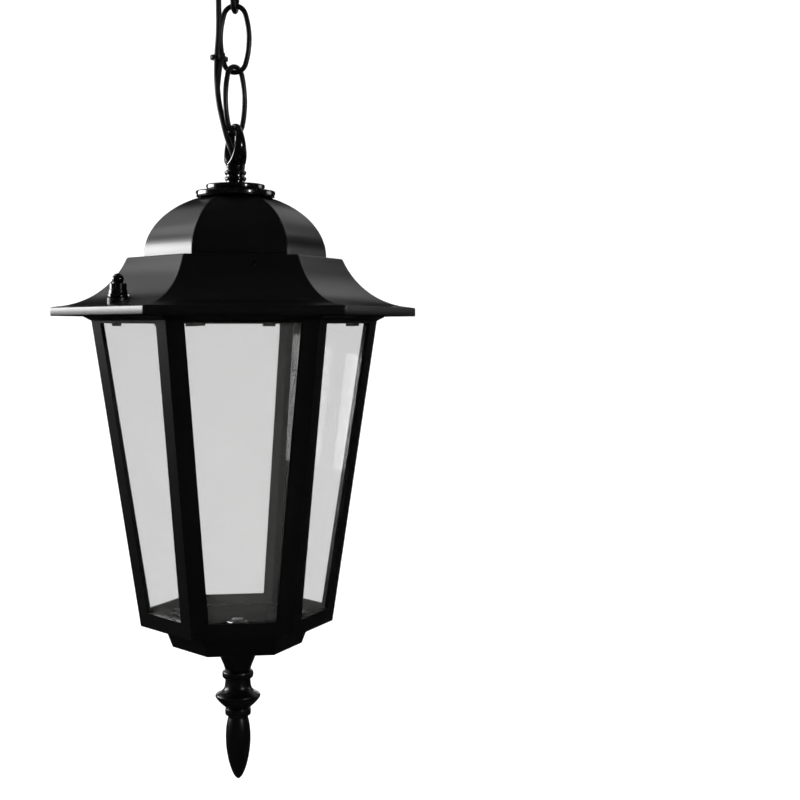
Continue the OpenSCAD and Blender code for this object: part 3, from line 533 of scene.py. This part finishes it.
def link_path():
    """The middle of a link's wire, as (across, up, outward direction)."""
    path = []
    for flip in (1, -1):
        for k in range(18):
            a = -JOIN + 2 * JOIN * k / 18
            path.append((flip * (SIDE_R * math.cos(a) - SIDE_AT), flip * SIDE_R * math.sin(a),
                         flip * math.cos(a), flip * math.sin(a)))
        for k in range(22):
            a = JOIN + (math.pi - 2 * JOIN) * k / 22
            path.append((flip * END_R * math.cos(a), flip * (END_AT + END_R * math.sin(a)),
                         flip * math.cos(a), flip * math.sin(a)))
    return path


LINK_PATH = link_path()
# the butt joint of the bent wire, counted along the path
SEAM = 8


def make_link(i):
    """One link of bent wire."""
    lo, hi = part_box(f"chain_link_{i}")
    middle = (lo + hi) / 2 / MM
    turn = math.radians(LINK_TURN[i - 1])
    along = Vector((math.cos(turn), math.sin(turn), 0))
    across = Vector((-math.sin(turn), math.cos(turn), 0))

    def wire_ring(x, z, ox, oz, wire):
        ring = []
        for k in range(16):
            b = 2 * math.pi * k / 16
            flat = along * (x + ox * wire * math.cos(b)) - across * wire * math.sin(b)
            up = z + oz * wire * math.cos(b)
            ring.append(((middle.x + flat.x) * MM, (middle.y + flat.y) * MM,
                         (middle.z + up) * MM))
        return ring

    rings = []
    for n, spot in enumerate(LINK_PATH):
        # a fine groove between two slightly swollen ends
        gap = abs(n - SEAM)
        rings.append(wire_ring(*spot, WIRE_R * (0.86 if gap == 0 else 1.03 if gap == 1 else 1.0)))
        if gap <= 1 and n <= SEAM:
            # the groove is narrow: a second ring close to it
            share = 0.88 if gap else 0.12
            between = [p + (q - p) * share for p, q in zip(spot, LINK_PATH[n + 1])]
            rings.append(wire_ring(*between, WIRE_R * 1.03))
    link = add_rings(f"link_wire_{i}", rings, closed=True, angle=50)
    dress(link, f"link_{i}", black_chain, [f"chain_link_{i}"])


for i in range(1, LINK_COUNT + 1):
    make_link(i)


# ------------------------------------------------------------------- cable ----
CABLE_ROUTE = [
    (11.9, 0, -6.5), (9.5, 0, -6.5), (7, 0, -6.5), (4.5, 0, -7), (2, 0, -9), (0.5, 0, -12),
    (0, 0, -16), (0, 0, -26), (0, 0, -38), (0, 0, -43), (-1, 0, -48), (-2.5, -1, -53),
    (-5, -2.5, -59), (-7.5, -5, -68), (-9.5, -5.5, -82), (-10.5, -5.5, -100),
    (-11, -5.5, -145), (-10, -5.5, -195), (-11, -5.5, -245), (-10, -5.5, -295),
    (-11, -5.5, -345), (-10, -5.5, -395), (-10, -5.5, -440), (-9.5, -5.5, -475),
    (-9.5, -5, -495), (-10.5, -3.5, -510), (-10.5, -2, -522), (-9.5, -1, -534),
    (-7.5, -0.5, -544), (-5, 0, -554), (-3, 0, -560), (-1, 0, -566), (0, 0, -571),
    (0, 0, -578), (0, 0, -590), (0, 0, -602), (0, 0, -611.5),
]
CABLE_W, CABLE_T = 5.4, 3.3
CABLE_STEPS = 12
# the route's point from which the cable hangs beside the chain
CABLE_FREE = 9
cable_points = smooth_curve(CABLE_ROUTE, CABLE_STEPS)


def cable_ring(i):
    """The flat cable's section at one of its points."""
    here = cable_points[i]
    ahead = cable_points[min(i + 1, len(cable_points) - 1)]
    along = (ahead - cable_points[max(i - 1, 0)]).normalized()
    wide = (Vector((0, 1, 0)) - along * along.y).normalized()
    thin = along.cross(wide)
    ring = []
    for k in range(28):
        a = 2 * math.pi * (k + 0.5) / 28
        shift = (CABLE_W - CABLE_T) / 2 * (1 if math.sin(a) > 0 else -1)
        # the two cores show as a faint waist
        waist = 1 - 0.05 * math.exp(-(math.sin(a) / 0.35) ** 2)
        p = (here + thin * (CABLE_T / 2 * math.cos(a) * waist)
             + wide * (CABLE_T / 2 * math.sin(a) + shift))
        ring.append(tuple(p * MM))
    return ring


def link_middle(i):
    """The height of a link's middle, in mm."""
    lo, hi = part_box(f"chain_link_{i}")
    return (lo.z + hi.z) / 2 / MM


def nearest(z):
    """The cable's point at a height."""
    below = range(CABLE_STEPS * CABLE_FREE, len(cable_points))
    return min(below, key=lambda i: abs(cable_points[i].z - z))


marks = [0] + [nearest(link_middle(i)) for i in range(1, LINK_COUNT + 1)]
marks.append(len(cable_points) - 1)
for n in range(len(marks) - 1):
    run = [cable_ring(i) for i in range(marks[n], marks[n + 1] + 1)]
    part = add_rings(f"cable_run_{n + 1}", run, angle=60)
    part.data.materials.append(cable_skin)
    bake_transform(part)
    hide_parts("lamp_cable")


# --------------------------------------------------------------------- tie ----
def outline_of_hull(a, ra, b, rb, steps=20):
    """The outline round two circles, as a closed ring of points in a plane."""
    a, b = Vector(a), Vector(b)
    d = b - a
    base = math.atan2(d.y, d.x)
    lean = math.acos(max(-1, min(1, (ra - rb) / d.length)))
    ring = []
    for k in range(steps + 1):
        t = base + lean + (2 * math.pi - 2 * lean) * k / steps
        ring.append(a + ra * Vector((math.cos(t), math.sin(t))))
    for k in range(steps + 1):
        t = base - lean + 2 * lean * k / steps
        ring.append(b + rb * Vector((math.cos(t), math.sin(t))))
    return ring


TIE_ON = 13
TIE_Z, TIE_H, TIE_T = -511.0, 2.4, 0.9
TIE_CABLE = (-10.5, -3.4)
TAIL_L = 18.2
TAIL_STEPS = 44
down = link_middle(TIE_ON) - TIE_Z - TIE_H / 2
reach = SIDE_R * math.cos(math.asin(down / SIDE_R)) - SIDE_AT
tie_turn = math.radians(LINK_TURN[TIE_ON - 1])
TIE_LINK = (-reach * math.cos(tie_turn), -reach * math.sin(tie_turn))
inner = outline_of_hull(TIE_LINK, WIRE_R + 0.62, TIE_CABLE, CABLE_W / 2 + 0.32)
outer = outline_of_hull(TIE_LINK, WIRE_R + 0.6 + TIE_T, TIE_CABLE, CABLE_W / 2 + 0.3 + TIE_T)


def band_ring(points, z):
    """A level ring of the strap, in metres."""
    return [(p.x * MM, p.y * MM, z * MM) for p in points]


mid_in = [i + (o - i) * 0.22 for i, o in zip(inner, outer)]
mid_out = [i + (o - i) * 0.78 for i, o in zip(inner, outer)]
strap = add_rings("strap", [
    band_ring(inner, TIE_Z + 0.25), band_ring(inner, TIE_Z + TIE_H - 0.25),
    band_ring(mid_in, TIE_Z + TIE_H), band_ring(mid_out, TIE_Z + TIE_H),
    band_ring(outer, TIE_Z + TIE_H - 0.25), band_ring(outer, TIE_Z + 0.25),
    band_ring(mid_out, TIE_Z), band_ring(mid_in, TIE_Z),
], closed=True, capped=False, angle=50)


def soft_block(name, lo, hi, edge=0.35):
    """A moulded block with rounded edges."""
    rings = []
    x0, y0, z0 = lo
    x1, y1, z1 = hi
    for z, cut in ((z0, edge), (z0 + edge * 0.3, edge * 0.3), (z0 + edge, 0),
                   (z1 - edge, 0), (z1 - edge * 0.3, edge * 0.3), (z1, edge)):
        ring = []
        for cx, cy, a0 in ((x1, y1, 0), (x0, y1, 90), (x0, y0, 180), (x1, y0, 270)):
            sx = -1 if cx == x1 else 1
            sy = -1 if cy == y1 else 1
            r = max(edge - cut, 0.02)
            for k in range(4):
                a = math.radians(a0 + 30 * k)
                ring.append(((cx + sx * edge + r * math.cos(a)) * MM,
                             (cy + sy * edge + r * math.sin(a)) * MM, z * MM))
        rings.append(ring)
    return add_rings(name, rings, angle=60)


tx, ty = TIE_CABLE
head = soft_block("head", (tx + 0.9, ty - 6.2, TIE_Z - 0.6), (tx + 4.5, ty - 3.0, TIE_Z + 3.0),
                  0.45)
tail_rings = []
for k in range(TAIL_STEPS + 1):
    z = TIE_Z + 0.2 - TAIL_L * k / TAIL_STEPS
    left = TAIL_L * (1 - k / TAIL_STEPS)
    half = TIE_H / 2
    if left <= 1.2:
        half *= math.sqrt(max(0.02, 1 - ((1.2 - left) / 1.2) ** 2))
    tooth = 0.16 if k % 2 else 0.0
    # the tail springs away from the link below
    away = (k / TAIL_STEPS) ** 0.7
    xm, y0 = tx + 2.7 - 2.4 * away, ty - 5.0 - 0.5 * away
    tail_rings.append([((xm + sx * half) * MM, (y0 + yy) * MM, z * MM) for sx, yy in (
        (-1, 0.1), (-0.8, 0.0), (0.8, 0.0), (1, 0.1), (1, 0.9), (0.7, 1.05 - tooth),
        (-0.7, 1.05 - tooth), (-1, 0.9))])
tail = add_rings("tail", tail_rings, angle=30)
tie = join("nylon_tie", [strap, head, tail])
dress(tie, f"link_{TIE_ON}", cable_skin, ["cable_tie"])


# ------------------------------------------------------------------- discs ----
UPPER_DISC = (17, 3.3)
LOWER_DISC = (23, 3.6)
DISC_STEP = (15, 4.1)
DISC_EDGE = 0.9

disc_r, disc_t = UPPER_DISC
up_disc = rounded([(BORE_R, SEAT_Z - disc_t), (disc_r, SEAT_Z - disc_t), (disc_r, SEAT_Z),
                   (BORE_R, SEAT_Z)], [0, DISC_EDGE, DISC_EDGE, 0], 6)
upper_disc = lathe("upper_disc_turned", up_disc, 128, closed=True, angle=40)
dress(upper_disc, "lantern", black_gloss, ["upper_cap_disc"])
disc_r, disc_t = LOWER_DISC
step_r, step_t = DISC_STEP
low_disc = rounded([(BORE_R, ROOF_TOP_Z), (disc_r, ROOF_TOP_Z), (disc_r, ROOF_TOP_Z + disc_t),
                    (step_r, ROOF_TOP_Z + disc_t), (step_r, ROOF_TOP_Z + step_t),
                    (BORE_R, ROOF_TOP_Z + step_t)], [0, DISC_EDGE, DISC_EDGE, 0.2, 0.1, 0], 6)
lower_disc = lathe("lower_disc_turned", low_disc, 128, closed=True, angle=40)
dress(lower_disc, "lantern", black_gloss, ["lower_cap_disc"])


# -------------------------------------------------------------------- roof ----
DOME_H, DOME_R, DOME_ARCH = 34.2, 53, 37
LEDGE_R = 62.5
SKIRT_ARC = 46.4
FOOT_Z = ROOF_TOP_Z - DOME_H
LEDGE_Z = FOOT_Z - 1.0
SKIRT_Z = LEDGE_Z - 27.8
LIP_Z = SKIRT_Z - 0.9
WALL = 1.8


def roof_outline(inset):
    """The casting's section in corner radii, inset from the outside: dome, ledge, skirt, rim."""
    k = inset / COS30
    points = [(BORE_R, ROOF_TOP_Z - inset)]
    wide, tall = DOME_R - k, DOME_ARCH - inset
    start = math.asin(min(1, (DOME_H - inset) / tall))
    for n in range(37):
        a = start * (1 - n / 36)
        points.append((wide * math.cos(a), FOOT_Z + tall * math.sin(a)))
    if inset == 0:
        # a groove round the dome's foot
        points += [(DOME_R, FOOT_Z - 1.5), (53.3, FOOT_Z - 1.8), (53.8, FOOT_Z - 1.75),
                   (54.5, FOOT_Z - 1.1), (55.0, LEDGE_Z)]
    else:
        points.append((wide, LEDGE_Z - inset))
    top, foot = Vector((LEDGE_R, LEDGE_Z)), Vector((RIM_R - 6.8, SKIRT_Z))
    chord = foot - top
    side = Vector((-chord.y, chord.x)).normalized()
    centre = (top + foot) / 2 + side * math.sqrt(SKIRT_ARC ** 2 - (chord.length / 2) ** 2)
    arc = SKIRT_ARC + inset
    a0 = math.pi + math.asin((centre.y - LEDGE_Z + inset) / arc)
    a1 = math.pi + math.asin((centre.y - SKIRT_Z + inset) / arc)
    curve = []
    for n in range(41):
        a = a0 + (a1 - a0) * n / 40
        curve.append((centre.x + arc * math.cos(a), centre.y + arc * math.sin(a)))
    if inset == 0:
        # the ledge's edge is a small round
        x, z = curve[0]
        curve = [(x - 0.9, z), (x - 0.35, z - 0.08), (x + 0.02, z - 0.42)] + curve[1:]
    points += curve
    if inset == 0:
        points += rounded([points[-1], (RIM_R, LIP_Z), (RIM_R, RIM_FOOT_Z),
                           (RIM_R - k - 2.078, RIM_FOOT_Z)], [0, 0.8, 0.6, 0], 5)[1:]
    else:
        points += [(RIM_R - k, LIP_Z - inset), (RIM_R - k, RIM_FOOT_Z)]
    return points


section = roof_outline(0) + list(reversed(roof_outline(WALL)))
roof = add_rings("roof_casting", [hexagon(r, z, corner=1.1) for r, z in section],
                 closed=True, capped=False, angle=24)


def apply_modifiers(obj):
    """Turns what the object's modifiers do into its own mesh."""
    graph = bpy.context.evaluated_depsgraph_get()
    mesh = bpy.data.meshes.new_from_object(obj.evaluated_get(graph))
    obj.modifiers.clear()
    obj.data = mesh


def rod(name, r, z0, z1, centre, segments=64):
    """An upright solid cylinder."""
    return add_rings(name, [circle(r, z, segments, centre) for z in (z0, z1)])


def cut(obj, tools, operation="DIFFERENCE"):
    """Cuts the tools out of an object, or joins them to it with UNION, and removes them."""
    for tool in tools:
        m = obj.modifiers.new("cut", "BOOLEAN")
        m.object = tool
        m.operation = operation
        m.solver = "EXACT"
        apply_modifiers(obj)
        bpy.data.objects.remove(tool)


NUT_SEAT_Z = SKIRT_Z + 3.7
STUD_AT = 77
PAD_R = 6.2
stud_places = [(STUD_AT * math.cos(math.radians(a)), STUD_AT * math.sin(math.radians(a)))
               for a in (210, 30)]
for x, y in stud_places:
    cut(roof, [rod("pad", PAD_R, NUT_SEAT_Z - 3.4, NUT_SEAT_Z, (x, y)),
               rod("boss", 4.6, LIP_Z - 1.9, NUT_SEAT_Z - 1, (x, y))], "UNION")
    cut(roof, [rod("spot", PAD_R, NUT_SEAT_Z, NUT_SEAT_Z + 12, (x, y)),
               rod("bore", 2.25, LIP_Z - 6, NUT_SEAT_Z + 2, (x, y), 32)])
roof.data.shade_smooth()
roof.data.set_sharp_from_angle(angle=math.radians(24))
dress(roof, "lantern", black_enamel, ["roof"])

for name, (x, y) in zip(("left", "right"), stud_places):
    nut = cap_nut(f"roof_nut_{name}", x, y, NUT_SEAT_Z + 0.1, 1,
                  foot=5.5, neck=4.7, ball=3.25, foot_h=4.7, neck_h=3.5, height=13.5)
    dress(nut, f"nut_{name}", black_gloss, [f"roof_cap_nut_{name}"])


# ------------------------------------------------------------------ finial ----
# each run as (radius, depth below the pan)
FLARE = [
    (12.6, 0.1), (12.3, 1.0), (11.4, 4), (9.8, 8), (8.3, 11.6), (7.5, 14.2), (7.3, 14.8),
]
BEAD_1 = [(7.4, 14.9), (8.5, 15.1), (9.0, 15.8), (9.15, 17.1), (9.0, 18.4), (8.5, 19.2),
          (7.5, 19.5)]
BODY = [(7.4, 19.8), (7.55, 22.6), (8.1, 25.2), (9.7, 27.1), (11.9, 28.2), (12.9, 29.0),
        (13.2, 29.9), (12.9, 30.9), (11.9, 32.2), (10.0, 34.3), (8.1, 36.0), (7.1, 37.0)]
BEAD_2 = [(7.0, 37.2), (7.5, 37.6), (7.6, 39.2), (7.45, 40.8), (6.9, 41.4), (5.9, 41.7)]
DROP_R, DROP_TOP, DROP_L = 7.3, 42, 37.4
DROP_STEPS = 60


def drop_radius(t):
    """The long drop's radius, from 0 at its top to 1 at its tip."""
    return DROP_R * math.sin(math.pi * (t * 0.85 + 0.15) ** 0.83) ** 0.52


outline = []
for run in (FLARE, BEAD_1, BODY, BEAD_2):
    outline += [tuple(p) for p in smooth_curve(run, 5)]
for k in range(1, DROP_STEPS):
    t = k / DROP_STEPS
    outline.append((drop_radius(t), DROP_TOP + DROP_L * t))
outline += [(0.6, 79.36), (0.0, 79.4)]
turning = [(0.0, PAN_FOOT_Z - 0.1)] + [(r, PAN_FOOT_Z - depth) for r, depth in outline]
finial = lathe("finial_turning", turning, 96, angle=34)
dress(finial, "cage", black_enamel, ["finial"])


# -------------------------------------------------------------- lampholder ----
SHELL_LOW, SHELL_HIGH = low("lampholder_shell")[2], high("lampholder_shell")[2]
THREAD_PITCH, THREAD_MEAN_R, THREAD_DEPTH = 3.63, 13.75, 0.45
THREAD_STEP = 0.3
thread = []
for k in range(int((SHELL_HIGH - SHELL_LOW - 2.4) / THREAD_STEP)):
    z = SHELL_LOW + 0.8 + k * THREAD_STEP
    wave = math.cos(2 * math.pi * (z - SHELL_LOW) / THREAD_PITCH)
    thread.append((THREAD_MEAN_R + THREAD_DEPTH * wave, z))
inside = [(14.45, SHELL_LOW), (13.6, SHELL_LOW + 0.1)] + [(r - 0.35, z) for r, z in thread]
inside += [(13.0, SHELL_HIGH - 1.2), (7.0, SHELL_HIGH - 0.9), (7.0, SHELL_HIGH - 0.3)]
outside = [(13.4, SHELL_HIGH - 0.3)] + [(r, z) for r, z in reversed(thread)]
socket = lathe("threaded_shell", inside + outside, 96, closed=True, angle=40)
dress(socket, "lantern", brass, ["lampholder_shell"])


# -------------------------------------------------- CAD pieces that stay ----
for node, width in (
    ("ceiling_bracket", 0.35), ("canopy_studs", 0.3), ("canopy_loop_washer", 0.15),
    ("canopy_loop_locknut", 0.4), ("terminal_block", 0.6), ("terminal_screws", 0.2),
    ("cable_clamp", 0.5), ("clamp_screws", 0.4), ("roof_washer", 0.15), ("roof_locknut", 0.4),
    ("lampholder_cap", 0.4), ("lampholder_body", 0.6), ("lampholder_contact", 0.4),
    ("cage_frame", 0.45), ("cage_studs", 0.3), ("pane_clips", 0.15), ("clip_screws", 0.35),
    ("base_pan", 0.6), ("pan_screws", 0.35), ("finial_rod", 0.4), ("finial_washer", 0.2),
    ("finial_nut", 0.5),
):
    polish(node, width)
for i in range(1, 7):
    polish(f"glass_pane_{i}", 0.35)


# ------------------------------------------------------------------- stage ----
def stage_shader(name, colour, rough=0.9):
    """A plain matt backdrop."""
    g = Graph(name)
    g.set(Specular_IOR_Level=0.1)
    g.colour(g.blend(g.noise(1.5, 3), tuple(c * 0.985 for c in colour), colour))
    g.roughness(g.ramp(g.noise(6, 3), rough * 0.95, rough))
    return g.material


FLOOR_Z = -1.2
BOWL_R, BOWL_BEND, BOWL_TOP = 3.2, 1.0, 3.6


def bowl_part(name, a0, a1):
    """A pale floor that curves up into a round wall, from azimuth a0 to a1."""
    flat_r = BOWL_R - BOWL_BEND
    outline = [(0.001, FLOOR_Z), (1.0, FLOOR_Z), (flat_r, FLOOR_Z)]
    for k in range(1, 13):
        a = math.radians(90 * k / 12)
        outline.append((flat_r + BOWL_BEND * math.sin(a),
                        FLOOR_Z + BOWL_BEND - BOWL_BEND * math.cos(a)))
    outline.append((BOWL_R, BOWL_TOP))
    count = 48
    ways = [math.radians(a0 + (a1 - a0) * k / count) for k in range(count + 1)]
    verts = [(r * math.cos(a), r * math.sin(a), z) for r, z in outline for a in ways]
    m = count + 1
    faces = [(i * m + k, i * m + k + 1, (i + 1) * m + k + 1, (i + 1) * m + k)
             for i in range(len(outline) - 1) for k in range(count)]
    obj = add_mesh(name, verts, faces, 60)
    obj.data.materials.append(stage_white)
    # the gloss shows only the soft boxes
    obj.visible_glossy = False


stage_white = stage_shader("stage_white", (0.93, 0.93, 0.93))
bowl_part("stage_back", 20, 160)
bowl_part("stage_front", 160, 380)

world = bpy.data.worlds.new("world")
bpy.context.scene.world = world
world.use_nodes = True
background = world.node_tree.nodes["Background"]
background.inputs["Color"].default_value = (1, 1, 1, 1)
background.inputs["Strength"].default_value = 0.012

LANTERN_Z = -0.68


def softbox(name, azimuth, height, distance, size, radiance, glossy=True):
    """An area light aimed at the lantern from a compass direction, 0 = +X and 90 = behind.

    It shows in the gloss, or lights the matt surfaces, but not both.
    """
    data = bpy.data.lights.new(name, "AREA")
    data.shape = "RECTANGLE"
    data.size, data.size_y = size
    data.energy = radiance * math.pi * size[0] * size[1]
    obj = bpy.data.objects.new(name, data)
    bpy.context.scene.collection.objects.link(obj)
    a, e = math.radians(azimuth), math.radians(height)
    way = Vector((math.cos(a) * math.cos(e), math.sin(a) * math.cos(e), math.sin(e)))
    obj.location = Vector((0, 0, LANTERN_Z)) + way * distance
    obj.rotation_mode = "QUATERNION"
    obj.rotation_quaternion = way.to_track_quat("Z", "Y")
    obj.visible_glossy = glossy
    obj.visible_diffuse = not glossy
    obj.visible_camera = False
    obj.visible_transmission = False


# the backdrop's own light, unseen in the lantern's gloss
softbox("wash_top", 90, 84, 3.6, (3.2, 3.2), 5.0, glossy=False)
# reflections: boxes on the left, thin bands low behind, weaker boxes on the right, a spark in front
for box in (
    ("box_left", 153, 9, 2.0, (1.4, 0.5), 11.5),
    ("box_left_high", 148, 42, 2.0, (0.9, 1.3), 1.7),
    ("box_left_back", 118, 29, 2.0, (0.6, 0.6), 0.5),
    ("band_behind", 98, 5.0, 2.6, (1.0, 0.14), 8.0),
    ("band_right", 72, 4.0, 2.6, (0.8, 0.16), 7.0),
    ("box_right", 20, 7, 2.0, (0.7, 0.3), 2.2),
    ("box_right_high", 34, 36, 2.0, (0.7, 1.1), 0.7),
    ("box_right_back", 62, 29, 2.0, (0.6, 0.6), 0.5),
    ("spark_right", -52, 10, 1.5, (0.09, 0.16), 60.0),
):
    softbox(*box)

bpy.context.scene.view_settings.view_transform = "Standard"
